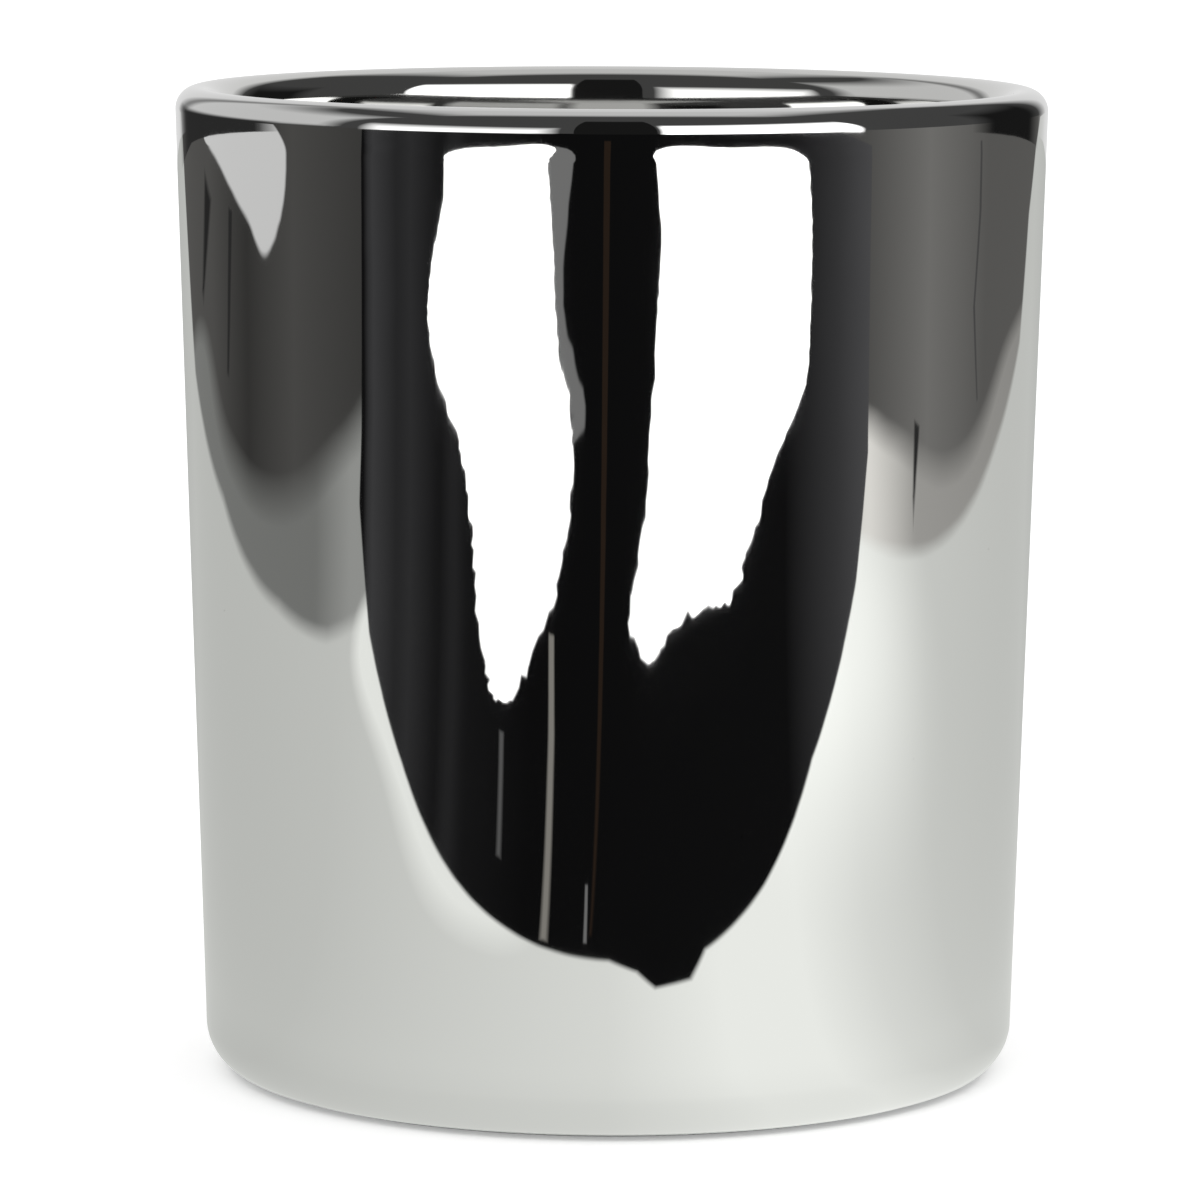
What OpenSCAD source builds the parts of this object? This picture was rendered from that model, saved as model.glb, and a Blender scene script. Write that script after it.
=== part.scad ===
// Container candle in a mirror-plated glass vessel.
// Units are millimetres. +Z is up; the origin is the centre of the foot ring,
// on the plane that the vessel stands on. Every piece is round about the Z axis.

/* [Vessel] */
// Diameter across the widest part of the lip, plating included
rim_d = 80; // [70:1:92]
// Overall height from the foot ring to the crest of the lip
vessel_h = 91; // [80:1:105]
// Diameter of the tapered outer wall where it runs into the foot rounding
foot_d = 75; // [66:0.5:88]
// Rounding of the lip on its outer side
lip_outer_r = 2; // [1.5:0.1:2.4]
// Rounding of the lip on its inner side
lip_inner_r = 2.4; // [1.6:0.1:2.8]
// Rounding between the outer wall and the foot
foot_corner_r = 4.5; // [3:0.5:6]
// Thickness of the wall beside the inside floor
heel_wall = 4.3; // [3.8:0.1:5]
// Thickness of the glass under the inside floor
floor_t = 8; // [5:0.5:12]
// Rounding between the inner wall and the inside floor
floor_corner_r = 6; // [4:0.5:8]
// Width of the flat ring that the vessel stands on
foot_ring_w = 3.5; // [2:0.5:6]
// Depth of the shallow dome under the foot
punt_depth = 1.2; // [0.6:0.1:2]

/* [Mirror films] */
// Thickness of each mirror film with its lacquer
film_t = 0.12; // [0.1:0.02:0.2]
// Height above the foot ring at which the outer film stops
film_foot_gap = 0.6; // [0.4:0.1:1]

/* [Candle] */
// Distance from the crest of the lip down to the wax
headspace = 15; // [10:1:25]
// Rise of the wax where it clings to the wall
meniscus_r = 1.4; // [0.8:0.1:2]
// Rise of the wax where it clings to the wick
collar_r = 0.8; // [0.4:0.1:1.2]
// Thickness of the wax at the top edge of each rise
wax_edge_t = 0.15; // [0.1:0.05:0.3]
// Diameter of the braided wick
wick_d = 2.4; // [1.6:0.1:3]
// Length of wick that stands above the wax
wick_stub = 6.5; // [4:0.5:8]
// Chamfer round the cut tip of the wick
wick_chamfer = 0.3; // [0.1:0.1:0.5]

/* [Wick holder] */
// Diameter of the sustainer's disc
sustainer_d = 20; // [15:1:25]
// Thickness of the sustainer's sheet metal
sustainer_t = 0.4; // [0.3:0.1:0.6]
// Height of the crimped neck above the disc
neck_h = 5; // [3:0.5:8]
// Diameter of the adhesive pad under the sustainer
pad_d = 16; // [12:1:19]
// Thickness of the adhesive pad
pad_t = 1; // [0.5:0.1:1.5]

/* [Hidden] */
$fn = 96;

// Room past a face that is cut
over = 1;
// How far each end of a straight wall is sunk into the rounding that it runs
// into, so that the two cross instead of only touching
tuck = 0.0003;

// Profiles lie in the (radius, height) half-plane, so .x is a radius here.
// The outer surface touches one circle at the lip and one at the foot. The film
// stops short of the foot ring, so the bare glass is what reaches height zero.
lip_c = [rim_d / 2 - lip_outer_r, vessel_h - lip_outer_r];
foot_c = [foot_d / 2 - foot_corner_r, foot_corner_r - film_t];

// The inner surface touches one circle at the lip and one at the floor. Both lip
// circles stand under the crest, so the lip is round all the way over.
crest_r = lip_c.x;
inner_lip_c = [crest_r, vessel_h - lip_inner_r];
floor_z = floor_t + film_t;
floor_c = [foot_d / 2 - heel_wall - floor_corner_r, floor_z + floor_corner_r];

// Directions square to the outer and the inner wall, in degrees from horizontal
outer_wall_a = touching_line_angle(lip_c - foot_c, lip_outer_r - foot_corner_r);
inner_wall_a = touching_line_angle(inner_lip_c - floor_c, -lip_inner_r - floor_corner_r);

// The dome under the foot is part of a large sphere
punt_r = foot_c.x - foot_ring_w;
punt_sphere_r = (punt_r ^ 2 + punt_depth ^ 2) / (2 * punt_depth);

// Levels of the candle, from the inside floor up
sustainer_z = floor_z + pad_t;
wax_z = vessel_h - headspace;
wick_tip_z = wax_z + wick_stub;

// Centres of the roundings of the wax at the wall and at the wick
meniscus_z = wax_z + meniscus_r;
meniscus_c = [inner_wall_r(meniscus_z) - meniscus_r - wax_edge_t, meniscus_z];
collar_c = [wick_d / 2 + wax_edge_t + collar_r, wax_z + collar_r];

// Direction square to a line that touches two circles. d leads from the lower
// centre to the upper one, and grow is how much larger the upper radius is. A
// circle that the line passes on its inner side counts with a negative radius.
function touching_line_angle(d, grow) = atan2(d.y, d.x) - acos(-grow / norm(d));

// Point of a circle in a given direction
function on_circle(c, r, angle) = c + r * [cos(angle), sin(angle)];

// Radius of the finished inner wall at height z
function inner_wall_r(z) =
    floor_c.x + (floor_corner_r - (z - floor_c.y) * sin(inner_wall_a)) / cos(inner_wall_a);

// All that lies within the bare glass's outer surface, grown by g
module outer_profile(g) {
    foot_r = foot_corner_r - film_t + g;
    lip_r = lip_outer_r - film_t + g;
    polygon([
        [0, foot_c.y - foot_r],
        [foot_c.x, foot_c.y - foot_r],
        foot_c,
        on_circle(foot_c, foot_r - tuck, outer_wall_a),
        on_circle(lip_c, lip_r - tuck, outer_wall_a),
        lip_c,
        [lip_c.x, lip_c.y + lip_r],
        [0, lip_c.y + lip_r]
    ]);
    translate(foot_c) circle(foot_r);
    translate(lip_c) circle(lip_r);
}

// The hollow within the finished inner surface, grown by g and open at the top
module hollow_profile(g) {
    floor_r = floor_corner_r + g;
    lip_r = lip_inner_r - g;
    difference() {
        union() {
            polygon([
                [0, floor_z - g],
                [floor_c.x, floor_z - g],
                floor_c,
                on_circle(floor_c, floor_r - tuck, inner_wall_a),
                on_circle(inner_lip_c, tuck - lip_r, inner_wall_a),
                inner_lip_c,
                [crest_r, vessel_h + over],
                [0, vessel_h + over]
            ]);
            translate(floor_c) circle(floor_r);
        }
        translate(inner_lip_c) circle(lip_r);
    }
}

// The wax's half-section before the wick and its holder are taken out
module wax_profile() {
    intersection() {
        hollow_profile(0);
        union() {
            square([crest_r, wax_z]);
            difference() {
                translate([0, wax_z - over]) square([collar_c.x, over + collar_r]);
                translate(collar_c) circle(collar_r);
            }
            difference() {
                translate([meniscus_c.x, wax_z - over])
                    square([crest_r - meniscus_c.x, over + meniscus_r]);
                translate(meniscus_c) circle(meniscus_r);
            }
        }
    }
}

module glass_body() {
    color("lightcyan") rotate_extrude() difference() {
        outer_profile(0);
        hollow_profile(film_t);
        translate([0, punt_depth - punt_sphere_r]) circle(punt_sphere_r, $fn = 720);
    }
}

module outer_mirror_film() {
    color("silver") rotate_extrude() difference() {
        outer_profile(film_t);
        outer_profile(0);
        translate([0, lip_c.y]) square([crest_r, lip_outer_r + over]);
        translate([0, -over]) square([foot_d, over + film_foot_gap]);
    }
}

module inner_mirror_film() {
    color("gainsboro") rotate_extrude() intersection() {
        difference() {
            hollow_profile(film_t);
            hollow_profile(0);
        }
        square([crest_r, vessel_h]);
    }
}

module wax_fill() {
    color("ivory") difference() {
        rotate_extrude() wax_profile();
        wick_space();
        sustainer_shape();
        pad_shape();
    }
}

// The room that the wick takes up, straight through the wax and the neck
module wick_space() {
    translate([0, 0, sustainer_z]) cylinder(h = vessel_h, d = wick_d);
}

module sustainer_shape() {
    translate([0, 0, sustainer_z]) {
        cylinder(h = sustainer_t, d = sustainer_d);
        cylinder(h = sustainer_t + neck_h, d = wick_d + 2 * sustainer_t);
    }
}

module pad_shape() {
    translate([0, 0, floor_z]) cylinder(h = pad_t, d = pad_d);
}

module wick() {
    straight_h = wick_tip_z - wick_chamfer - sustainer_z;
    color("wheat") translate([0, 0, sustainer_z]) {
        cylinder(h = straight_h, d = wick_d);
        translate([0, 0, straight_h])
            cylinder(h = wick_chamfer, d1 = wick_d, d2 = wick_d - 2 * wick_chamfer);
    }
}

module wick_sustainer() {
    color("lightsteelblue") difference() {
        sustainer_shape();
        translate([0, 0, -over]) wick_space();
    }
}

module sustainer_pad() {
    color("whitesmoke") pad_shape();
}

glass_body();
outer_mirror_film();
inner_mirror_film();
wax_fill();
wick();
wick_sustainer();
sustainer_pad();
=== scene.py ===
from math import acos, atan2, cos, degrees, hypot, pi, radians, sin, sqrt

import bpy
from mathutils import Euler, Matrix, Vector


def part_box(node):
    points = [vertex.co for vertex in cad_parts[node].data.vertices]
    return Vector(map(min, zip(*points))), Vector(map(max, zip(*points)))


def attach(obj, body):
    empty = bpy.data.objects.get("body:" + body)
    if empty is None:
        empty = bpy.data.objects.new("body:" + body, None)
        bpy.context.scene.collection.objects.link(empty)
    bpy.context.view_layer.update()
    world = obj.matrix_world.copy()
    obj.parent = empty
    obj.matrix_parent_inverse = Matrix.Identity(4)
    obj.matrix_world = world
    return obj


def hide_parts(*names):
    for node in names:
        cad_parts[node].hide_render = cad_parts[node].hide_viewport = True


# A container candle in a mirror-plated glass vessel, standing on a white table.
# Sizes are in millimetres here and turned into metres as they are used.
mm = 0.001

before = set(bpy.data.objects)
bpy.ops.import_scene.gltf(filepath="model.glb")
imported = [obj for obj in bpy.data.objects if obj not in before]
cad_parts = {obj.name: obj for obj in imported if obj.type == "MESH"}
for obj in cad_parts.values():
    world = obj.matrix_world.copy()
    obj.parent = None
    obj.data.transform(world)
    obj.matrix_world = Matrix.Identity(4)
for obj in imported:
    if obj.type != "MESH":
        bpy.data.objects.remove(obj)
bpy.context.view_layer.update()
print("frame loaded:", sorted(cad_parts))


def toLinear(hexColour):
    # sRGB hex to the linear values that the shader sockets take
    parts = [int(hexColour[i:i + 2], 16) / 255 for i in (1, 3, 5)]
    return [p / 12.92 if p <= 0.04045 else ((p + 0.055) / 1.055) ** 2.4 for p in parts] + [1.0]


def addNode(tree, kind, settings=None, inputs=None):
    node = tree.nodes.new(kind)
    for name, value in (settings or {}).items():
        setattr(node, name, value)
    for name, value in (inputs or {}).items():
        if isinstance(value, bpy.types.NodeSocket):
            tree.links.new(value, node.inputs[name])
        else:
            node.inputs[name].default_value = value
    return node


def newMaterial(name):
    # an empty material with only its output, and that output
    material = bpy.data.materials.new(name)
    material.use_nodes = True
    tree = material.node_tree
    tree.nodes.clear()
    return material, tree, addNode(tree, "ShaderNodeOutputMaterial")


def selectOnly(obj):
    bpy.ops.object.select_all(action="DESELECT")
    obj.select_set(True)
    bpy.context.view_layer.objects.active = obj


def editOnly(obj):
    selectOnly(obj)
    bpy.ops.object.mode_set(mode="EDIT")


def leaveEdit():
    bpy.ops.object.mode_set(mode="OBJECT")


def startVertex(name, x, y, z):
    # a mesh of one vertex, left in edit mode
    bpy.ops.object.select_all(action="DESELECT")
    bpy.ops.mesh.primitive_plane_add(size=mm)
    obj = bpy.context.object
    obj.name = obj.data.name = name
    bpy.ops.object.mode_set(mode="EDIT")
    bpy.ops.mesh.merge(type="CENTER")
    bpy.ops.transform.translate(value=(x * mm, y * mm, z * mm))
    return obj


def startProfile(name, r, z):
    # the start of a half-section in the XZ plane: its object and where its end now is
    return [startVertex(name, r, 0, z), r, z]


def lineTo(profile, r, z, steps=1):
    # straight stretch, in equal steps
    move = ((r - profile[1]) / steps * mm, 0, (z - profile[2]) / steps * mm)
    for step in range(steps):
        bpy.ops.mesh.extrude_region_move(TRANSFORM_OT_translate={"value": move})
    profile[1:] = [r, z]


def roundBy(profile, centre, turn, steps):
    # arc about centre, turning by so many degrees, anticlockwise with r to the right
    bpy.ops.mesh.spin(steps=steps, angle=radians(turn), center=(centre[0] * mm, 0, centre[1] * mm),
                      axis=(0, 1, 0))
    r, z = profile[1] - centre[0], profile[2] - centre[1]
    c, s = cos(radians(turn)), sin(radians(turn))
    profile[1:] = [centre[0] + r * c - z * s, centre[1] + r * s + z * c]


def turnProfile(profile, steps):
    # the half-section is spun into a closed shape
    bpy.ops.mesh.select_all(action="SELECT")
    bpy.ops.mesh.spin(steps=steps, angle=2 * pi, center=(0, 0, 0), axis=(0, 0, 1), use_auto_merge=True)
    bpy.ops.mesh.select_all(action="SELECT")
    bpy.ops.mesh.remove_doubles(threshold=0.0005 * mm)
    bpy.ops.mesh.normals_make_consistent(inside=False)
    leaveEdit()
    return profile[0]


def smooth(obj, angle=40):
    selectOnly(obj)
    bpy.ops.object.shade_smooth_by_angle(angle=radians(angle))


def thicken(obj, thickness):
    # the wall grows inwards from the drawn surface
    wall = obj.modifiers.new("wall", "SOLIDIFY")
    wall.thickness = thickness * mm
    wall.offset = -1
    wall.use_even_offset = True


def applyAll(obj):
    selectOnly(obj)
    for modifier in list(obj.modifiers):
        bpy.ops.object.modifier_apply(modifier=modifier.name)


def finishPiece(obj, material, slotName, *nodes):
    obj.data.materials.clear()
    obj.data.materials.append(material)
    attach(obj, "root")
    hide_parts(*nodes)


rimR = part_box("outer_mirror_film")[1].x / mm
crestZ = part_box("outer_mirror_film")[1].z / mm
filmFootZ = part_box("outer_mirror_film")[0].z / mm
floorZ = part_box("sustainer_pad")[0].z / mm

vessel = {
    "lipOuterR": 2.0,
    "lipInnerR": 2.4,
    "footCornerR": 4.5,
    "footR": 37.5,
    "heelWall": 4.3,
    "floorCornerR": 6.0,
    "filmT": 0.12,
    "inset": 0.01,      # how much thinner each coat is drawn, to stay inside its own space
    "seam": 0.02,       # level sliver of each coat at the crest, so that both shade alike there
    "footRing": 3.5,    # width of the flat that it stands on
    "domeRise": 1.2,
    "around": 240,      # faces round the vessel
    "wallSteps": 34,
    "ripple": 0.004,    # how far the pressed surface wavers
    "rippleSize": 24.0,
}


def squareTo(dr, dz, grow):
    # direction square to a line that touches two circles, in degrees
    return degrees(atan2(dz, dr) - acos(-grow / hypot(dr, dz)))


def onCircle(centre, r, angle):
    return centre[0] + r * cos(radians(angle)), centre[1] + r * sin(radians(angle))


# Half-section of the finished vessel: circles at lip, foot and inside heel, and the walls' directions
lip = (rimR - vessel["lipOuterR"], crestZ - vessel["lipOuterR"])
innerLip = (lip[0], crestZ - vessel["lipInnerR"])
foot = (vessel["footR"] - vessel["footCornerR"], vessel["footCornerR"] - vessel["filmT"])
heel = (vessel["footR"] - vessel["heelWall"] - vessel["floorCornerR"], floorZ + vessel["floorCornerR"])
outerA = squareTo(lip[0] - foot[0], lip[1] - foot[1], vessel["lipOuterR"] - vessel["footCornerR"])
innerA = squareTo(innerLip[0] - heel[0], innerLip[1] - heel[1], -vessel["lipInnerR"] - vessel["floorCornerR"])


def innerWallR(z):
    # radius of the finished inner wall at height z
    return heel[0] + (vessel["floorCornerR"] - (z - heel[1]) * sin(radians(innerA))) / cos(radians(innerA))


def unevenBy(obj, name, depth, size, detail=2):
    # cloudy displacement of about half the depth each way; returns the modifier
    texture = bpy.data.textures.new(name, "CLOUDS")
    texture.noise_scale = size * mm
    texture.noise_depth = detail
    uneven = obj.modifiers.new(name, "DISPLACE")
    uneven.texture = texture
    uneven.texture_coords = "LOCAL"
    uneven.strength = depth * mm
    return uneven


def waver(obj):
    # slow unevenness that pressing leaves in glass, the same on every layer of the wall
    unevenBy(obj, "press ripple", vessel["ripple"], vessel["rippleSize"], 1)


def outerMirror():
    # from the foot up to the crest of the lip, then a coat's thickness inwards
    v = vessel
    start = degrees(atan2(filmFootZ - foot[1], sqrt(v["footCornerR"] ** 2 - (foot[1] - filmFootZ) ** 2)))
    profile = startProfile("outer_mirror", *onCircle(foot, v["footCornerR"], start))
    roundBy(profile, foot, outerA - start, 16)
    lineTo(profile, *onCircle(lip, v["lipOuterR"], outerA), v["wallSteps"])
    roundBy(profile, lip, 90 - outerA, 22)
    lineTo(profile, lip[0] - v["seam"], crestZ)
    coat = turnProfile(profile, v["around"])
    waver(coat)
    thicken(coat, v["filmT"] - v["inset"])
    applyAll(coat)
    smooth(coat)
    return coat


def innerMirror():
    # from the crest of the lip down the inner wall and over the inside floor
    v = vessel
    profile = startProfile("inner_mirror", lip[0] - v["seam"], crestZ)
    lineTo(profile, lip[0] - 2 * v["seam"], crestZ)
    roundBy(profile, (innerLip[0] - 2 * v["seam"], innerLip[1]), 90 + innerA, 18)
    lineTo(profile, *onCircle(heel, v["floorCornerR"], innerA), v["wallSteps"])
    roundBy(profile, heel, -90 - innerA, 12)
    lineTo(profile, 0, floorZ, 8)
    coat = turnProfile(profile, v["around"])
    waver(coat)
    thicken(coat, v["filmT"] - v["inset"])
    applyAll(coat)
    smooth(coat)
    return coat


def glassBody():
    # closed outline of the bare glass, from the middle of the dome under the foot and round to it again
    v = vessel
    t = v["filmT"]
    ringR = foot[0] - v["footRing"]
    domeR = (ringR ** 2 + v["domeRise"] ** 2) / (2 * v["domeRise"])
    domeTurn = degrees(atan2(ringR, domeR - v["domeRise"]))
    profile = startProfile("glass_vessel", 0, v["domeRise"])
    roundBy(profile, (0, v["domeRise"] - domeR), -domeTurn, 28)
    lineTo(profile, foot[0], 0, 4)
    roundBy(profile, foot, 90 + outerA, 18)
    lineTo(profile, *onCircle(lip, v["lipOuterR"] - t, outerA), v["wallSteps"])
    roundBy(profile, lip, 90 - outerA, 18)
    roundBy(profile, innerLip, 90 + innerA, 14)
    lineTo(profile, *onCircle(heel, v["floorCornerR"] + t, innerA), v["wallSteps"])
    roundBy(profile, heel, -90 - innerA, 12)
    lineTo(profile, 0, floorZ - t, 6)
    body = turnProfile(profile, v["around"])
    waver(body)
    applyAll(body)
    smooth(body)
    return body


def mirrorMaterial(name, baseHex, roughness):
    # silver evaporated on pressed glass under clear lacquer: near-perfect reflections, with
    # the faint orange peel of the lacquer and a few specks of dust sealed in
    material, tree, output = newMaterial(name)
    place = addNode(tree, "ShaderNodeTexCoord")
    peel = addNode(tree, "ShaderNodeTexNoise", {}, {
        "Vector": place.outputs["Object"], "Scale": 1 / (3.0 * mm), "Detail": 1.0, "Roughness": 0.4})
    bump = addNode(tree, "ShaderNodeBump", {}, {
        "Strength": 1.0, "Distance": 0.0008 * mm, "Height": peel.outputs["Fac"]})
    haze = addNode(tree, "ShaderNodeTexNoise", {}, {
        "Vector": place.outputs["Object"], "Scale": 1 / (18 * mm), "Detail": 4.0, "Roughness": 0.6})
    gloss = addNode(tree, "ShaderNodeMapRange", {}, {
        "Value": haze.outputs["Fac"], "From Min": 0.3, "From Max": 0.7,
        "To Min": roughness * 0.6, "To Max": roughness * 1.4})
    specks = addNode(tree, "ShaderNodeTexVoronoi", {"feature": "F1"}, {
        "Vector": place.outputs["Object"], "Scale": 1 / (6 * mm), "Randomness": 1.0})
    speckMask = addNode(tree, "ShaderNodeMapRange", {"clamp": True}, {
        "Value": specks.outputs["Distance"], "From Min": 0.012, "From Max": 0.02,
        "To Min": 1.0, "To Max": 0.0})
    colour = addNode(tree, "ShaderNodeMix", {"data_type": "RGBA"}, {
        "Factor": speckMask.outputs["Result"], "A": toLinear(baseHex), "B": toLinear("#8d8c89")})
    shader = addNode(tree, "ShaderNodeBsdfPrincipled", {}, {
        "Base Color": colour.outputs["Result"], "Metallic": 1.0, "Roughness": gloss.outputs["Result"],
        "Normal": bump.outputs["Normal"]})
    tree.links.new(shader.outputs["BSDF"], output.inputs["Surface"])
    return material


def glassMaterial():
    # pressed soda-lime glass: clear with a faint green cast, fire-polished, slightly uneven
    material, tree, output = newMaterial("pressed soda-lime glass")
    place = addNode(tree, "ShaderNodeTexCoord")
    chill = addNode(tree, "ShaderNodeTexNoise", {}, {
        "Vector": place.outputs["Object"], "Scale": 1 / (4 * mm), "Detail": 3.0, "Roughness": 0.5})
    bump = addNode(tree, "ShaderNodeBump", {}, {
        "Strength": 0.6, "Distance": 0.02 * mm, "Height": chill.outputs["Fac"]})
    shader = addNode(tree, "ShaderNodeBsdfPrincipled", {}, {
        "Base Color": toLinear("#e9f2ee"), "Roughness": 0.03, "IOR": 1.52, "Transmission Weight": 1.0,
        "Normal": bump.outputs["Normal"]})
    tree.links.new(shader.outputs["BSDF"], output.inputs["Surface"])
    return material


outerCoat = outerMirror()
finishPiece(outerCoat, mirrorMaterial("outer metallised lacquer", "#d7d7d6", 0.02), "outer_mirror",
            "outer_mirror_film")
innerCoat = innerMirror()
finishPiece(innerCoat, mirrorMaterial("inner metallised lacquer", "#d3d3d1", 0.03), "inner_mirror",
            "inner_mirror_film")
glass = glassBody()
finishPiece(glass, glassMaterial(), "pressed_glass", "glass_body")
print("vessel:", [len(o.data.polygons) for o in (outerCoat, innerCoat, glass)])

candle = {
    "wallRise": 1.4,
    "wickRise": 0.8,
    "edgeT": 0.15,      # wax left at the top of each rise
    "sink": 0.25,       # sets how deep the top has shrunk towards the wick
    "sinkByWall": 0.55,     # its depth towards the wall, as a part of that
    "gap": 0.02,        # clear of the coat, the pad and the holder
    "unevenBy": 0.16,
    "unevenSize": 14,
    "unevenR": (2.4, 33.4),     # the top is uneven between these radii
    "sinkSteps": 34,
    "waxAround": 180,
}
candle["surfaceZ"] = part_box("wax_fill")[1].z / mm - candle["wallRise"]     # level between the two rises
wick = {
    "bottomZ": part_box("wick")[0].z / mm,
    "tipZ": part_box("wick")[1].z / mm,
    "r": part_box("wick")[1].x / mm,
    "strands": 4,       # in each direction
    "strandR": 0.34,
    "flatten": 0.75,    # height of a strand's section against its width
    "crossing": 0.15,   # how far strands rise and dip as they pass one another
    "clearR": 0.22,     # kept free outside the strands' middle line
    "pitch": 9.0,       # height of one turn of a strand
    "coreR": 0.62,
    "coreTopR": 0.372,
    "coreTaper": 0.25,  # the core thins from this far below the tip
    "coreGaps": (0.05, 0.02),   # from the wick's foot and tip to the core's ends
    "stepsPerTurn": 26,
    "endGap": 0.2,
}
holder = {
    "r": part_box("wick_sustainer")[1].x / mm,
    "bottomZ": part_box("wick_sustainer")[0].z / mm,
    "topZ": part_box("wick_sustainer")[1].z / mm,
    "sheet": 0.4,
    "clear": 0.02,      # between wick and neck
    "entryR": 0.25,     # rounding where the wick enters
    "edgeR": 0.12,      # rounding of the disc's edge
    "rootR": 0.3,       # rounding between disc and neck
    "grooveR": 6.4,
    "grooveW": 1.6,
    "grooveDepth": 0.16,
    "crimp": 0.14,      # how far the two crimps press the neck in
    "crimpLevels": (0.45, 0.72),    # as parts of the holder's height
    "crimpReach": (0.9, 0.6),       # half width and half height of a crimp
}
pad = {
    "r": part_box("sustainer_pad")[1].x / mm,
    "bottomZ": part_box("sustainer_pad")[0].z / mm,
    "topZ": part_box("sustainer_pad")[1].z / mm,
    "clear": 0.01,      # from the floor and from the holder
    "bulge": 0.16,
}


def waxFill():
    # closed outline, from the foot of the wick out over the floor, up the wall and back over the top
    c, w = candle, wick
    wallTopZ = c["surfaceZ"] + c["wallRise"]
    wallTopR = innerWallR(wallTopZ) - candle["gap"]
    gap = c["gap"]
    wickR = w["r"] + gap
    top = holder["topZ"]
    discTopZ = holder["bottomZ"] + holder["sheet"] + gap
    profile = startProfile("candle_wax", wickR, top)
    lineTo(profile, wickR + holder["sheet"], top)
    lineTo(profile, wickR + holder["sheet"], discTopZ, 3)
    lineTo(profile, holder["r"] + gap, discTopZ, 4)
    lineTo(profile, holder["r"] + gap, holder["bottomZ"] - gap)
    lineTo(profile, pad["r"] + gap, holder["bottomZ"] - gap)
    lineTo(profile, pad["r"] + gap, floorZ + gap)
    lineTo(profile, heel[0], floorZ + gap, 5)
    roundBy(profile, heel, 90 + innerA, 12)
    lineTo(profile, wallTopR, wallTopZ, 30)
    lineTo(profile, wallTopR - c["edgeT"], wallTopZ)
    roundBy(profile, (wallTopR - c["edgeT"] - c["wallRise"], wallTopZ), -90, 12)
    rimEndR, collarR = profile[1], wickR + c["edgeT"] + c["wickRise"]
    for step in range(1, c["sinkSteps"] + 1):       # shallow ring-shaped sink between the two rises
        part = step / c["sinkSteps"]
        depth = c["sink"] * (c["sinkByWall"] + (1 - c["sinkByWall"]) * part)
        lineTo(profile, rimEndR + (collarR - rimEndR) * part,
               c["surfaceZ"] - depth * sin(pi * part) ** 2)
    roundBy(profile, (collarR, c["surfaceZ"] + c["wickRise"]), -90, 8)
    lineTo(profile, wickR, profile[2])
    lineTo(profile, wickR, top, 20)
    wax = turnProfile(profile, c["waxAround"])
    unevenTop(wax)
    smooth(wax, 50)
    return wax


def unevenTop(wax):
    # the top sets a little uneven, clear of its rises at the wick and at the wall
    c = candle
    group = wax.vertex_groups.new(name="top")
    inside = [v.index for v in wax.data.vertices
              if v.co.z > (c["surfaceZ"] - 1) * mm
              and c["unevenR"][0] * mm < hypot(v.co.x, v.co.y) < c["unevenR"][1] * mm]
    group.add(inside, 1.0, "REPLACE")
    unevenBy(wax, "set wax", c["unevenBy"], c["unevenSize"]).vertex_group = "top"
    applyAll(wax)
    wax.vertex_groups.clear()


def braidedWick():
    # strands wind both ways round a core and pass over and under one another
    w = wick
    bpy.ops.object.select_all(action="DESELECT")
    bpy.ops.curve.primitive_bezier_circle_add(radius=w["strandR"] * mm)
    section = bpy.context.object
    section.scale.y = w["flatten"]
    section.data.resolution_u = 2
    strands = []
    length = w["tipZ"] - w["bottomZ"] - 2 * w["endGap"]
    steps = int(length / w["pitch"] * w["stepsPerTurn"])
    meanR = w["r"] - w["strandR"] * w["flatten"] - w["clearR"]
    for way in (1, -1):
        for strand in range(w["strands"]):
            curve = bpy.data.curves.new("strand", "CURVE")
            curve.dimensions = "3D"
            curve.bevel_mode = "OBJECT"
            curve.bevel_object = section
            curve.use_fill_caps = True
            spline = curve.splines.new("POLY")
            spline.points.add(steps)
            for step, point in enumerate(spline.points):
                along = step / steps * length
                turn = way * 2 * pi * along / w["pitch"] + 2 * pi * strand / w["strands"]
                r = meanR + way * cos(w["strands"] * turn) * w["crossing"]
                point.co = (r * cos(turn) * mm, r * sin(turn) * mm,
                            (w["bottomZ"] + w["endGap"] + along) * mm, 1)
            obj = bpy.data.objects.new("strand", curve)
            bpy.context.scene.collection.objects.link(obj)
            strands.append(obj)
    bpy.ops.object.select_all(action="DESELECT")
    for obj in strands:
        obj.select_set(True)
    bpy.context.view_layer.objects.active = strands[0]
    bpy.ops.object.convert(target="MESH")
    coreFootZ, coreTopZ = w["bottomZ"] + w["coreGaps"][0], w["tipZ"] - w["coreGaps"][1]
    profile = startProfile("wick_core", 0, coreFootZ)
    lineTo(profile, w["coreR"], coreFootZ)
    lineTo(profile, w["coreR"], w["tipZ"] - w["coreTaper"], 20)
    lineTo(profile, w["coreTopR"], coreTopZ)
    lineTo(profile, 0, coreTopZ)
    core = turnProfile(profile, 16)
    for obj in strands:
        obj.select_set(True)
    core.select_set(True)
    bpy.context.view_layer.objects.active = core
    bpy.ops.object.join()
    core.name = core.data.name = "wick_braid"
    editOnly(core)
    bpy.ops.mesh.select_all(action="SELECT")
    bpy.ops.mesh.remove_doubles(threshold=0.0005 * mm)
    bpy.ops.mesh.normals_make_consistent(inside=False)
    leaveEdit()
    bpy.data.objects.remove(section)
    smooth(core, 60)
    return core


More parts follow.
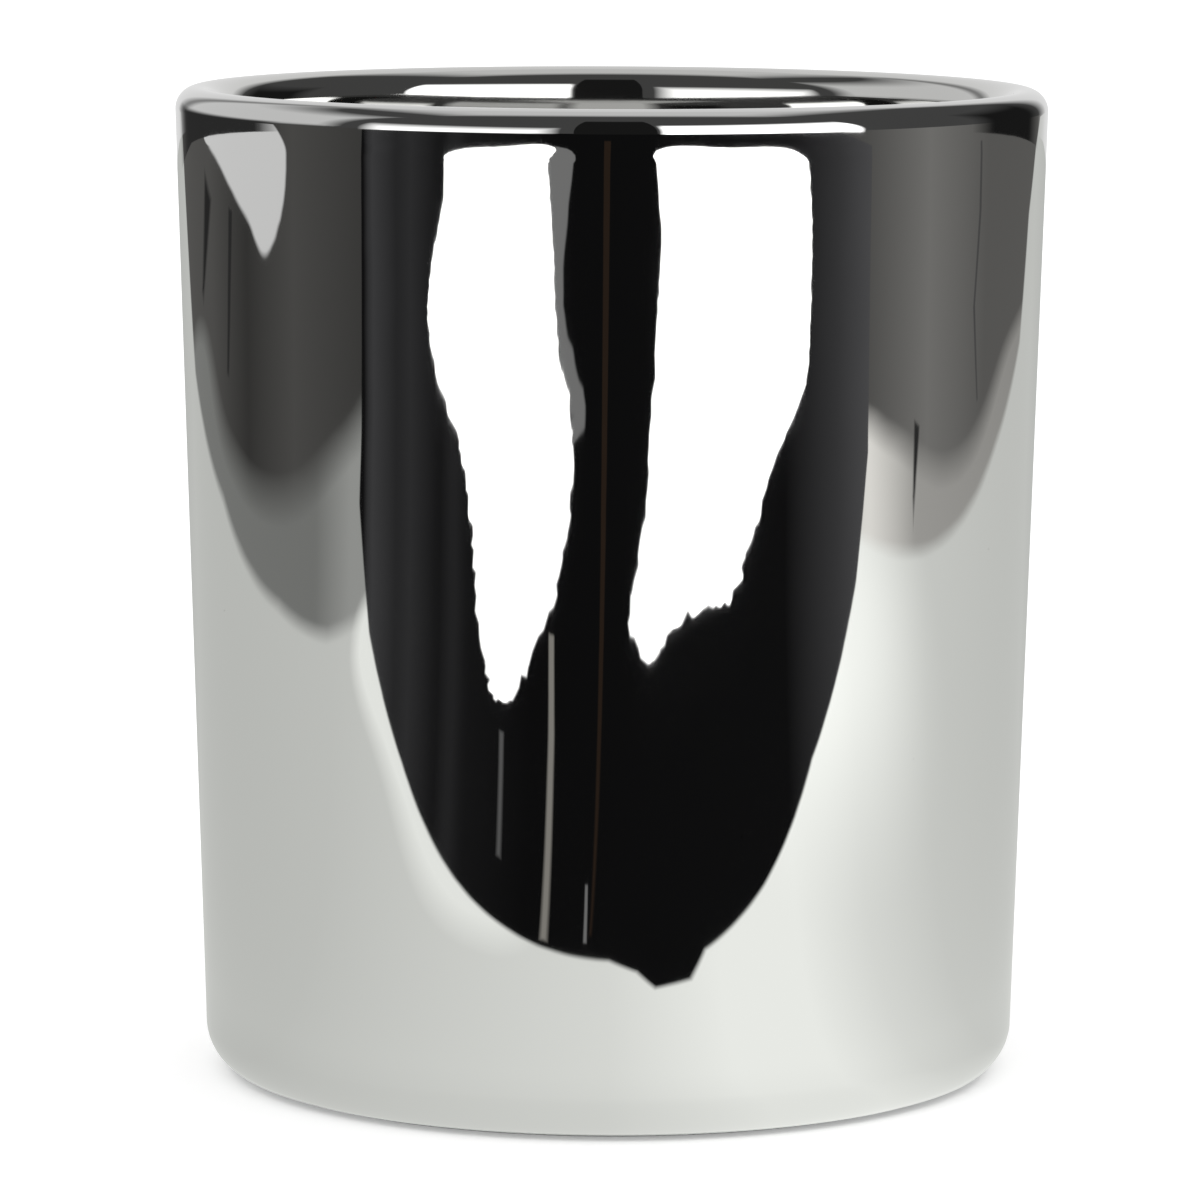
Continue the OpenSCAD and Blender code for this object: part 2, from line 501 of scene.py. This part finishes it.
def wickHolder():
    # stamped disc with a rolled groove, drawn up into a neck that two crimps close on the wick
    h = holder
    z, t, neckR = h["bottomZ"], h["sheet"], wick["r"] + h["clear"]
    edgeR, discRimR, neckTopR = h["edgeR"], h["r"] - h["edgeR"], neckR + t - h["clear"]
    profile = startProfile("wick_sustainer_tin", neckR, z + h["entryR"])
    roundBy(profile, (neckR + h["entryR"], z + h["entryR"]), 90, 5)
    lineTo(profile, discRimR, z, 6)
    roundBy(profile, (discRimR, z + edgeR), 90, 4)
    lineTo(profile, h["r"], z + t - edgeR)
    roundBy(profile, (discRimR, z + t - edgeR), 90, 4)
    grooveSteps = 8
    for step in range(1, grooveSteps + 1):
        part = step / grooveSteps
        lineTo(profile, h["grooveR"] + h["grooveW"] * (0.5 - part),
               z + t - h["grooveDepth"] * sin(pi * part) ** 2)
    lineTo(profile, neckR + t + h["rootR"], z + t, 3)
    roundBy(profile, (neckR + t + h["rootR"], z + t + h["rootR"]), -90, 5)
    lineTo(profile, neckTopR, h["topZ"] - edgeR, 14)
    roundBy(profile, (neckTopR - edgeR, h["topZ"] - edgeR), 90, 3)
    lineTo(profile, neckR + h["clear"], h["topZ"])
    lineTo(profile, neckR, h["topZ"] - 0.05)
    lineTo(profile, neckR, z + h["entryR"], 14)
    disc = turnProfile(profile, 96)
    across, tall = h["crimpReach"]
    for level in h["crimpLevels"]:
        midZ = z + level * (h["topZ"] - z)
        for vertex in disc.data.vertices:
            x, y, up = (part / mm for part in vertex.co)
            if hypot(x, y) < neckR + t + 0.1 and abs(up - midZ) < tall and abs(y) < across:
                press = h["crimp"] * cos(pi / 2 * (up - midZ) / tall) * cos(pi / 2 * y / across)
                vertex.co.x -= press * mm * (1 if x > 0 else -1)
    smooth(disc, 35)
    return disc


def foamPad():
    # die-cut foam disc, a little squashed, so its side bulges
    d = pad
    lowZ, highZ, cutR = d["bottomZ"] + d["clear"], d["topZ"] - d["clear"], d["r"] - d["bulge"]
    profile = startProfile("foam_pad", 0, lowZ)
    lineTo(profile, cutR, lowZ, 10)
    sideSteps = 8
    for step in range(1, sideSteps + 1):
        part = step / sideSteps
        lineTo(profile, cutR + d["bulge"] * sin(pi * part), lowZ + (highZ - lowZ) * part)
    lineTo(profile, 0, highZ, 10)
    disc = turnProfile(profile, 72)
    unevenBy(disc, "foam cells", 0.02, 0.6)
    applyAll(disc)
    smooth(disc, 50)
    return disc


def waxMaterial():
    # poured soy and paraffin wax: milky, light passes a few millimetres into it, satin skin,
    # paler bloom in patches, pinholes of air
    material, tree, output = newMaterial("poured candle wax")
    place = addNode(tree, "ShaderNodeTexCoord")
    bloom = addNode(tree, "ShaderNodeTexNoise", {}, {
        "Vector": place.outputs["Object"], "Scale": 1 / (11 * mm), "Detail": 5.0, "Roughness": 0.62,
        "Distortion": 0.7})
    bloomMask = addNode(tree, "ShaderNodeMapRange", {"clamp": True}, {
        "Value": bloom.outputs["Fac"], "From Min": 0.46, "From Max": 0.68})
    colour = addNode(tree, "ShaderNodeMix", {"data_type": "RGBA"}, {
        "Factor": bloomMask.outputs["Result"], "A": toLinear("#efe3c6"), "B": toLinear("#f7f0de")})
    grain = addNode(tree, "ShaderNodeTexNoise", {}, {
        "Vector": place.outputs["Object"], "Scale": 1 / (0.7 * mm), "Detail": 3.0, "Roughness": 0.55})
    holes = addNode(tree, "ShaderNodeTexVoronoi", {"feature": "F1"}, {
        "Vector": place.outputs["Object"], "Scale": 1 / (5.5 * mm), "Randomness": 1.0})
    holeMask = addNode(tree, "ShaderNodeMapRange", {"clamp": True, "interpolation_type": "SMOOTHSTEP"}, {
        "Value": holes.outputs["Distance"], "From Min": 0.03, "From Max": 0.09})
    height = addNode(tree, "ShaderNodeMath", {"operation": "MULTIPLY_ADD"}, {
        0: grain.outputs["Fac"], 1: 0.12, 2: holeMask.outputs["Result"]})
    bump = addNode(tree, "ShaderNodeBump", {}, {
        "Strength": 0.5, "Distance": 0.12 * mm, "Height": height.outputs["Value"]})
    gloss = addNode(tree, "ShaderNodeMapRange", {}, {
        "Value": bloom.outputs["Fac"], "From Min": 0.3, "From Max": 0.7, "To Min": 0.28, "To Max": 0.46})
    shader = addNode(tree, "ShaderNodeBsdfPrincipled", {}, {
        "Base Color": colour.outputs["Result"], "Roughness": gloss.outputs["Result"], "IOR": 1.43,
        "Subsurface Weight": 0.7, "Subsurface Radius": (1.0, 0.86, 0.7), "Subsurface Scale": 2.2 * mm,
        "Normal": bump.outputs["Normal"]})
    tree.links.new(shader.outputs["BSDF"], output.inputs["Surface"])
    return material


def wickMaterial():
    # bleached cotton braid primed with wax: streaks of fibre, drawn upright though the strands slant,
    # darkened as painted shade where the fibre bump sinks, and shinier patches where more wax has soaked in
    material, tree, output = newMaterial("waxed cotton braid")
    place = addNode(tree, "ShaderNodeTexCoord")
    stretch = addNode(tree, "ShaderNodeMapping", {}, {
        "Vector": place.outputs["Object"], "Scale": (1, 1, 0.3)})
    fibres = addNode(tree, "ShaderNodeTexNoise", {}, {
        "Vector": stretch.outputs["Vector"], "Scale": 1 / (0.12 * mm), "Detail": 3.0, "Roughness": 0.7})
    soak = addNode(tree, "ShaderNodeTexNoise", {}, {
        "Vector": place.outputs["Object"], "Scale": 1 / (2.2 * mm), "Detail": 2.0})
    # painted shade: the colour darkens where the fibres' bump sinks, between the fibres
    shade = addNode(tree, "ShaderNodeMath", {"operation": "MULTIPLY_ADD"}, {
        0: fibres.outputs["Fac"], 1: 0.7, 2: -0.1})
    colour = addNode(tree, "ShaderNodeMix", {"data_type": "RGBA"}, {
        "Factor": shade.outputs["Value"], "A": toLinear("#b9a67c"), "B": toLinear("#f3ead2")})
    gloss = addNode(tree, "ShaderNodeMapRange", {}, {
        "Value": soak.outputs["Fac"], "From Min": 0.3, "From Max": 0.7, "To Min": 0.42, "To Max": 0.7})
    bump = addNode(tree, "ShaderNodeBump", {}, {
        "Strength": 0.7, "Distance": 0.05 * mm, "Height": fibres.outputs["Fac"]})
    shader = addNode(tree, "ShaderNodeBsdfPrincipled", {}, {
        "Base Color": colour.outputs["Result"], "Roughness": gloss.outputs["Result"], "IOR": 1.47,
        "Subsurface Weight": 0.25, "Subsurface Radius": (1.0, 0.8, 0.5), "Subsurface Scale": 0.5 * mm,
        "Sheen Weight": 0.15, "Normal": bump.outputs["Normal"]})
    tree.links.new(shader.outputs["BSDF"], output.inputs["Surface"])
    return material


def tinMaterial():
    # tinned steel strip, blanked and drawn: satin, with fine rolling lines and duller patches of tin
    material, tree, output = newMaterial("tinned steel strip")
    place = addNode(tree, "ShaderNodeTexCoord")
    rolled = addNode(tree, "ShaderNodeMapping", {}, {
        "Vector": place.outputs["Object"], "Scale": (1, 0.04, 1)})
    lines = addNode(tree, "ShaderNodeTexNoise", {}, {
        "Vector": rolled.outputs["Vector"], "Scale": 1 / (0.15 * mm), "Detail": 2.0})
    spangle = addNode(tree, "ShaderNodeTexVoronoi", {"feature": "F1"}, {
        "Vector": place.outputs["Object"], "Scale": 1 / (3 * mm)})
    colour = addNode(tree, "ShaderNodeMix", {"data_type": "RGBA"}, {
        "Factor": spangle.outputs["Distance"], "A": toLinear("#c9cbcc"), "B": toLinear("#b3b6b8")})
    gloss = addNode(tree, "ShaderNodeMapRange", {}, {
        "Value": spangle.outputs["Distance"], "From Min": 0.0, "From Max": 0.8,
        "To Min": 0.26, "To Max": 0.4})
    bump = addNode(tree, "ShaderNodeBump", {}, {
        "Strength": 0.3, "Distance": 0.004 * mm, "Height": lines.outputs["Fac"]})
    shader = addNode(tree, "ShaderNodeBsdfPrincipled", {}, {
        "Base Color": colour.outputs["Result"], "Metallic": 1.0, "Roughness": gloss.outputs["Result"],
        "Normal": bump.outputs["Normal"]})
    tree.links.new(shader.outputs["BSDF"], output.inputs["Surface"])
    return material


def foamMaterial():
    # closed-cell polyethylene foam tape: matt white, pitted all over by its cells, with painted shade in the
    # pits
    material, tree, output = newMaterial("polyethylene foam tape")
    place = addNode(tree, "ShaderNodeTexCoord")
    cells = addNode(tree, "ShaderNodeTexVoronoi", {"feature": "F1"}, {
        "Vector": place.outputs["Object"], "Scale": 1 / (0.35 * mm)})
    # painted shade: the colour darkens towards each cell's middle, where the bump sinks into a pit
    colour = addNode(tree, "ShaderNodeMix", {"data_type": "RGBA"}, {
        "Factor": cells.outputs["Distance"], "A": toLinear("#d9d8d2"), "B": toLinear("#f1f0ec")})
    bump = addNode(tree, "ShaderNodeBump", {}, {
        "Strength": 0.8, "Distance": 0.06 * mm, "Height": cells.outputs["Distance"]})
    shader = addNode(tree, "ShaderNodeBsdfPrincipled", {}, {
        "Base Color": colour.outputs["Result"], "Roughness": 0.85, "IOR": 1.5,
        "Subsurface Weight": 0.2, "Subsurface Scale": 0.6 * mm, "Normal": bump.outputs["Normal"]})
    tree.links.new(shader.outputs["BSDF"], output.inputs["Surface"])
    return material


waxPiece = waxFill()
finishPiece(waxPiece, waxMaterial(), "candle_wax", "wax_fill")
wickPiece = braidedWick()
finishPiece(wickPiece, wickMaterial(), "wick_cotton", "wick")
holderPiece = wickHolder()
finishPiece(holderPiece, tinMaterial(), "tinned_steel", "wick_sustainer")
padPiece = foamPad()
finishPiece(padPiece, foamMaterial(), "foam_tape", "sustainer_pad")
print("candle:", [len(o.data.polygons) for o in (waxPiece, wickPiece, holderPiece, padPiece)])


# Painted reflection: glowing cards, which are no lamps, paint what the silvering mirrors: a sheet of paper
# and a black cloth on dark boards, two windows, a pale wall behind and a dim room, with their light and
# shade painted into each card's glow. Only reflections see these cards. The table itself is plain and white.
def reflectionOnly(obj):
    obj.visible_camera = False
    obj.visible_diffuse = False
    obj.visible_shadow = False
    obj.visible_transmission = False


def glow(card, strength, colour="#ffffff"):
    # "fade" is 0 on a soft outer edge and 1 within; returns the tree and its light
    # painted reflection: the card glows, though it is no lamp, and only reflections see it
    material, tree, output = newMaterial(card.name + " light")
    fade = addNode(tree, "ShaderNodeAttribute", {"attribute_name": "fade"})
    clear = addNode(tree, "ShaderNodeBsdfTransparent")
    light = addNode(tree, "ShaderNodeEmission", {}, {"Color": toLinear(colour), "Strength": strength})
    mixed = addNode(tree, "ShaderNodeMixShader", {}, {
        0: fade.outputs["Fac"], 1: clear.outputs["BSDF"], 2: light.outputs["Emission"]})
    tree.links.new(mixed.outputs["Shader"], output.inputs["Surface"])
    card.data.materials.clear()
    card.data.materials.append(material)
    reflectionOnly(card)
    return tree, light


def setFade(card, amount):
    # amount turns a vertex of the card into its fade
    fade = card.data.attributes.new("fade", "FLOAT", "POINT")
    for vertex in card.data.vertices:
        fade.data[vertex.index].value = min(1.0, max(0.0, amount(vertex)))


def layCard(name, outline, height, strength, soft=0, ragged=0, colour="#ffffff", straight=False):
    # a flat card on the table, cut along its outline by straight lines or by a smooth curve
    curve = bpy.data.curves.new(name, "CURVE")
    curve.dimensions = "2D"
    curve.fill_mode = "BOTH"
    curve.resolution_u = 12
    spline = curve.splines.new("BEZIER")
    spline.bezier_points.add(len(outline) - 1)
    for point, (x, y) in zip(spline.bezier_points, outline):
        point.co = (x * mm, y * mm, 0)
        point.handle_left_type = point.handle_right_type = "VECTOR" if straight else "AUTO"
    spline.use_cyclic_u = True
    card = bpy.data.objects.new(name, curve)
    bpy.context.scene.collection.objects.link(card)
    card.location.z = height * mm
    selectOnly(card)
    bpy.ops.object.convert(target="MESH")
    editOnly(card)
    bpy.ops.mesh.select_all(action="SELECT")
    if ragged:
        bpy.ops.transform.vertex_random(offset=ragged * mm, uniform=1.0, seed=5)
        bpy.ops.transform.resize(value=(1, 1, 0))
    if soft:
        bpy.ops.mesh.inset(thickness=soft * mm, use_boundary=True)
    leaveEdit()
    setFade(card, lambda vertex: 1.0 if vertex.select else 0.0)
    return glow(card, strength, colour)


def standCard(name, fromA, toA, distance, low, high, strength, softTop=0, softLow=0, softSide=0):
    # an upright card bent round the vessel; angle 0 is in front, 90 on the right
    rows, columns = 16, 28
    a = radians(fromA)
    card = startVertex(name, distance * sin(a), -distance * cos(a), low)
    for row in range(rows):
        bpy.ops.mesh.extrude_region_move(TRANSFORM_OT_translate={"value": (0, 0, (high - low) / rows * mm)})
    bpy.ops.mesh.select_all(action="SELECT")
    bpy.ops.mesh.spin(steps=columns, angle=radians(toA - fromA), center=(0, 0, 0), axis=(0, 0, -1))
    leaveEdit()

    def amount(vertex):
        x, y, z = vertex.co / mm
        angle = (degrees(atan2(x, -y)) - fromA) % 360
        angle = angle - 360 if angle > 350 else angle       # rounding may put the first edge just under 0
        parts = [1.0]
        if softTop:
            parts.append((high - z) / softTop)
        if softLow:
            parts.append((z - low) / softLow)
        if softSide:
            parts.append(min(angle, toA - fromA - angle) / softSide)
        return min(parts)

    setFade(card, amount)
    glow(card, strength)


def table():
    # glossy rays pass it, and it glows a little, as an overlit sweep does
    bpy.ops.object.select_all(action="DESELECT")
    bpy.ops.mesh.primitive_plane_add(size=12)
    top = bpy.context.object
    top.name = "studio_table"
    top.visible_glossy = False
    material, tree, output = newMaterial("white table")
    paint = addNode(tree, "ShaderNodeBsdfDiffuse", {}, {"Color": toLinear("#f6f6f6")})
    light = addNode(tree, "ShaderNodeEmission", {}, {"Strength": 0.3})
    both = addNode(tree, "ShaderNodeAddShader", {}, {0: paint.outputs["BSDF"], 1: light.outputs["Emission"]})
    tree.links.new(both.outputs["Shader"], output.inputs["Surface"])
    top.data.materials.append(material)


def tonesByDirection(tree, light, stops, wander=0.0):
    # brightness that changes with direction from the vessel; stops are (degrees, strength), 0 in front
    place = addNode(tree, "ShaderNodeTexCoord")
    apart = addNode(tree, "ShaderNodeSeparateXYZ", {}, {0: place.outputs["Object"]})
    away = addNode(tree, "ShaderNodeMath", {"operation": "MULTIPLY"}, {0: apart.outputs["Y"], 1: -1.0})
    angle = addNode(tree, "ShaderNodeMath", {"operation": "ARCTAN2"}, {
        0: apart.outputs["X"], 1: away.outputs["Value"]})
    uneven = addNode(tree, "ShaderNodeTexNoise", {}, {
        "Vector": place.outputs["Object"], "Scale": 6.0, "Detail": 2.0})
    bent = addNode(tree, "ShaderNodeMath", {"operation": "MULTIPLY_ADD"}, {
        0: uneven.outputs["Fac"], 1: wander, 2: angle.outputs["Value"]})
    turned = addNode(tree, "ShaderNodeMapRange", {}, {
        "Value": bent.outputs["Value"], "From Min": -pi + wander / 2, "From Max": pi + wander / 2})
    tones = addNode(tree, "ShaderNodeValToRGB", {}, {"Fac": turned.outputs["Result"]})
    most = max(strength for degree, strength in stops)
    ramp = tones.color_ramp.elements
    while len(ramp) < len(stops):
        ramp.new(0.5)
    for element, (degree, strength) in zip(ramp, stops):
        element.position = (degree + 180) / 360
        element.color = (strength / most, strength / most, strength / most, 1)
    scaled = addNode(tree, "ShaderNodeMath", {"operation": "MULTIPLY"}, {0: tones.outputs["Color"], 1: most})
    tree.links.new(scaled.outputs["Value"], light.inputs["Strength"])
    return scaled


# Cards on the table lie this high, in millimetres, so that the upper ones hide the lower
layers = {
    "boards": 0.1, "curls": 0.2, "paper": 0.3, "paperEdge": 0.35, "patch": 0.45, "marks": 0.5, "cloth": 0.6,
    "cords": 0.75, "frame": 0.85, "windows": 0.9,
}


def darkFloor():
    # boards round the paper, lighter on the right where a window lights them
    bpy.ops.object.select_all(action="DESELECT")
    bpy.ops.mesh.primitive_circle_add(
        radius=2.5, vertices=64, fill_type="NGON", location=(0, 0, layers["boards"] * mm))
    boards = bpy.context.object
    boards.name = "dark_floor"
    setFade(boards, lambda vertex: 1.0)
    tree, light = glow(boards, 0.1, "#fffdf9")
    tonesByDirection(tree, light, [
        (-180, 0.12), (-130, 0.1), (-110, 0.045), (-90, 0.09), (-60, 0.05), (45, 0.012), (60, 0.06),
        (90, 0.22), (115, 0.13), (180, 0.12)])
    # painted shade: darker lines where the boards meet, for the shade in their gaps
    layCard("board_gap_left", [
        (-740, 410), (-600, 350), (-470, 290), (-470, 270), (-600, 320), (-740, 370)],
        layers["marks"], 0.03, soft=9, straight=True)
    layCard("board_gap_right", [
        (470, 195), (600, 220), (760, 310), (1000, 400), (1000, 380), (760, 290), (600, 205), (470, 185)],
        layers["marks"], 0.08, soft=5, straight=True)
    layCard("dark_wedge", [(-730, 700), (-480, 540), (-470, 500), (-700, 560)],
            layers["marks"], 0.025, soft=25, straight=True)
    layCard("dark_mark", [(345, -30), (455, -20), (460, -40), (380, -36)],
            layers["marks"], 0.03, soft=5, straight=True)
    layCard("pale_patch", [
        (-690, 110), (-1100, 90), (-1500, 500), (-1200, 1000), (-830, 800), (-790, 500), (-740, 270)],
        layers["patch"], 0.78, soft=12)


paper = {
    "left": "#fdfffb",
    "right": "#fffdf8",
    "waver": 0.02,              # unevenness of its tones, in radians
    "litSpot": (0.24, -0.13),   # where a window lights it most, in metres
    "litReach": (0.02, 0.17),
    "litGain": 1.35,
    "footReach": (0.036, 0.062),    # the vessel's own shade, between these distances from its axis
    "footShade": 0.92,
}


def paperCurls():
    # the sheet's raised ends, their glow painted duller than its middle and fading out over the boards
    tree, light = layCard("paper_curl_left", [
        (-150, -230), (-420, -250), (-430, -130), (-410, 20), (-420, 230), (-450, 520), (-300, 560),
        (-150, 60)],
        layers["curls"], 0.3, soft=52, colour=paper["left"])
    tonesByDirection(tree, light, [(-180, 0.25), (-82, 0.23), (-70, 0.4), (180, 0.4)], paper["waver"])
    tree, light = layCard("paper_curl_right", [
        (150, -180), (420, -190), (445, -100), (435, 60), (490, 460), (400, 600), (200, 60)],
        layers["curls"], 0.5, soft=40, colour=paper["right"])
    tonesByDirection(tree, light, [(-180, 0.3), (70, 1.0), (86, 0.45), (180, 0.25)], paper["waver"])


def whitePaper():
    # brightest in front on the right, in the vessel's own shade close to its foot
    tree, light = layCard("white_paper", [
        (-260, -150), (-270, -60), (-300, 30), (-340, 230), (-340, 500), (-420, 750), (-900, 2300),
        (900, 2300), (560, 750), (430, 480), (400, 250), (345, -10), (320, -150)],
        layers["paper"], 1.0, soft=14, colour=paper["left"], straight=True)
    tones = tonesByDirection(tree, light, [
        (-180, 0.42), (-150, 0.64), (-75, 0.74), (0, 0.98), (25, 1.2), (45, 1.2), (65, 0.98), (90, 0.82),
        (150, 0.66), (180, 0.42)], paper["waver"])
    place = addNode(tree, "ShaderNodeTexCoord")
    fromSpot = addNode(tree, "ShaderNodeVectorMath", {"operation": "DISTANCE"}, {
        0: place.outputs["Object"], 1: (*paper["litSpot"], 0)})
    lit = addNode(tree, "ShaderNodeMapRange", {"interpolation_type": "SMOOTHSTEP"}, {
        "Value": fromSpot.outputs["Value"],
        "From Min": paper["litReach"][0], "From Max": paper["litReach"][1],
        "To Min": paper["litGain"], "To Max": 1.0})
    fromAxis = addNode(tree, "ShaderNodeVectorMath", {"operation": "LENGTH"}, {0: place.outputs["Object"]})
    shade = addNode(tree, "ShaderNodeMapRange", {"interpolation_type": "SMOOTHSTEP"}, {
        "Value": fromAxis.outputs["Value"],
        "From Min": paper["footReach"][0], "From Max": paper["footReach"][1],
        "To Min": paper["footShade"], "To Max": 1.0})
    first = addNode(tree, "ShaderNodeMath", {"operation": "MULTIPLY"}, {
        0: tones.outputs["Value"], 1: lit.outputs["Result"]})
    both = addNode(tree, "ShaderNodeMath", {"operation": "MULTIPLY"}, {
        0: first.outputs["Value"], 1: shade.outputs["Result"]})
    tree.links.new(both.outputs["Value"], light.inputs["Strength"])
    layCard("paper_front_edge", [
        (-260, -160), (-260, -100), (-150, -93), (-50, -90), (-30, -105), (-30, -160)],
        layers["paperEdge"], 1.12, soft=15, colour=paper["left"])


def frontCloth():
    # black cloth with a torn tongue; its folds run away from the vessel on the left, painted as streaks
    # of light and shade in its glow, and the cloth is painted lighter towards the right
    tree, light = layCard("front_cloth", [
        (-400, -170), (-340, -140), (-240, -118), (-150, -113), (-80, -106), (-30, -101), (0, -101),
        (10, -96), (15, -88), (30, -88), (40, -96), (80, -103), (150, -118), (280, -125), (390, -145),
        (900, -330), (1500, -1700), (-1500, -1700), (-1500, -645), (-700, -300)],
        layers["cloth"], 0.01, soft=2, ragged=0.7, colour="#f1f1f6", straight=True)
    tonesByDirection(tree, light, [
        (-180, 0.008), (-66, 0.008), (-64, 0.07), (-56, 0.03), (-52, 0.04), (-44, 0.012), (-40, 0.028),
        (-36, 0.012), (-20, 0.006), (45, 0.0075), (60, 0.055), (75, 0.13), (180, 0.13)], 0.03)
    layCard("cord_light", [(-30, -104), (-54, -200), (-70, -256), (-62, -256), (-47, -200), (-25, -104)],
            layers["cords"], 0.28, soft=1.8, colour="#fffaf0", straight=True)
    layCard("cord_short", [(-11, -107), (-13, -132), (-11, -132), (-9, -107)],
            layers["cords"], 0.2, soft=0.6, straight=True)
    layCard("glint", [(-66, -128), (-96, -185), (-90, -186), (-61, -128)],
            layers["cords"], 0.12, soft=2, straight=True)
    layCard("cord_brown", [(-9, -110), (-13, -300), (-32, -1000), (-2, -1000), (-6, -300), (-7, -110)],
            layers["cords"], 0.045, soft=1.2, colour="#c9a58c", straight=True)


def windowsOnTable():
    # the light of both windows where it falls on the cloth, with ragged edges
    layCard("window_left", [
        (-100, -200), (-130, -210), (-200, -280), (-260, -320), (-370, -350), (-430, -400), (-480, -510),
        (-560, -640), (-420, -810), (-240, -890), (-200, -710), (-150, -590), (-110, -480), (-75, -430),
        (-60, -340), (-80, -240)], layers["windows"], 3.0, soft=3, ragged=3)
    layCard("window_left_frame", [
        (-60, -400), (-115, -545), (-170, -870), (-250, -870), (-160, -590), (-80, -425)],
        layers["frame"], 0.22, soft=4, ragged=3)
    layCard("window_right", [
        (30, -250), (50, -340), (90, -470), (130, -600), (205, -880), (450, -790), (640, -640), (630, -540),
        (540, -420), (450, -350), (380, -305), (300, -300), (200, -270), (150, -250), (90, -260)],
        layers["windows"], 3.0, soft=3, ragged=3)


def roundTheTable():
    # walls, windows and a dark figure in front, which the lip mirrors
    standCard("pale_wall", 150, 211, 1250, 2, 2100, 0.8, softTop=300, softSide=11)
    standCard("right_window", 12, 68, 1140, 2, 960, 3.0, softTop=330, softSide=1.5)
    standCard("left_window", -68, -13, 1140, 2, 600, 2.0, softTop=430, softLow=30, softSide=8)
    standCard("left_curtain", -152, -73, 1150, 60, 1500, 0.72, softTop=600, softLow=120, softSide=8)
    standCard("left_skirting", -158, -94, 1120, 2, 200, 0.03, softTop=120, softSide=10)
    standCard("right_shade", 107, 151, 1150, 2, 760, 0.012, softTop=300, softSide=10)
    standCard("standing_figure", -9.5, 11.5, 1130, 2, 2000, 0.012, softTop=300)


def overhead():
    # a soft ceiling light inside a dim, round room
    size, soft = 1.9, 0.4
    bpy.ops.object.select_all(action="DESELECT")
    bpy.ops.mesh.primitive_grid_add(x_subdivisions=12, y_subdivisions=12, size=size, location=(0, 0.75, 1.9))
    ceiling = bpy.context.object
    ceiling.name = "overhead_softbox"
    setFade(ceiling, lambda vertex: (size / 2 - max(abs(vertex.co.x), abs(vertex.co.y))) / soft)
    glow(ceiling, 0.7)
    bpy.ops.object.select_all(action="DESELECT")
    bpy.ops.mesh.primitive_cylinder_add(radius=2.4, depth=3.0, location=(0, 0, 1.49), vertices=64)
    room = bpy.context.object
    room.name = "studio_room"
    setFade(room, lambda vertex: 1.0)
    glow(room, 0.07)


table()
darkFloor()
paperCurls()
whitePaper()
frontCloth()
windowsOnTable()
roundTheTable()
overhead()

world = bpy.data.worlds.new("studio")
bpy.context.scene.world = world
world.use_nodes = True
sky = world.node_tree.nodes["Background"]
sky.inputs["Color"].default_value = (1, 1, 1, 1)
sky.inputs["Strength"].default_value = 1.05

view = {
    "back": 586.19,
    "height": 121.33,
    "down": 7.57,       # degrees, as are pan and roll
    "pan": 0.0893,
    "roll": 0.21,
    "lens": 191.24,
}
bpy.ops.object.select_all(action="DESELECT")
bpy.ops.object.camera_add(location=(0, -view["back"] * mm, view["height"] * mm))
camera = bpy.context.object
camera.data.sensor_width = 36
camera.data.lens = view["lens"]
turn = Euler((radians(90 - view["down"]), 0, radians(view["pan"])), "XYZ").to_matrix()
roll = Euler((0, 0, radians(view["roll"])), "XYZ").to_matrix()
camera.rotation_euler = (turn @ roll).to_euler()
bpy.context.scene.camera = camera
bpy.context.scene.view_settings.view_transform = "Standard"
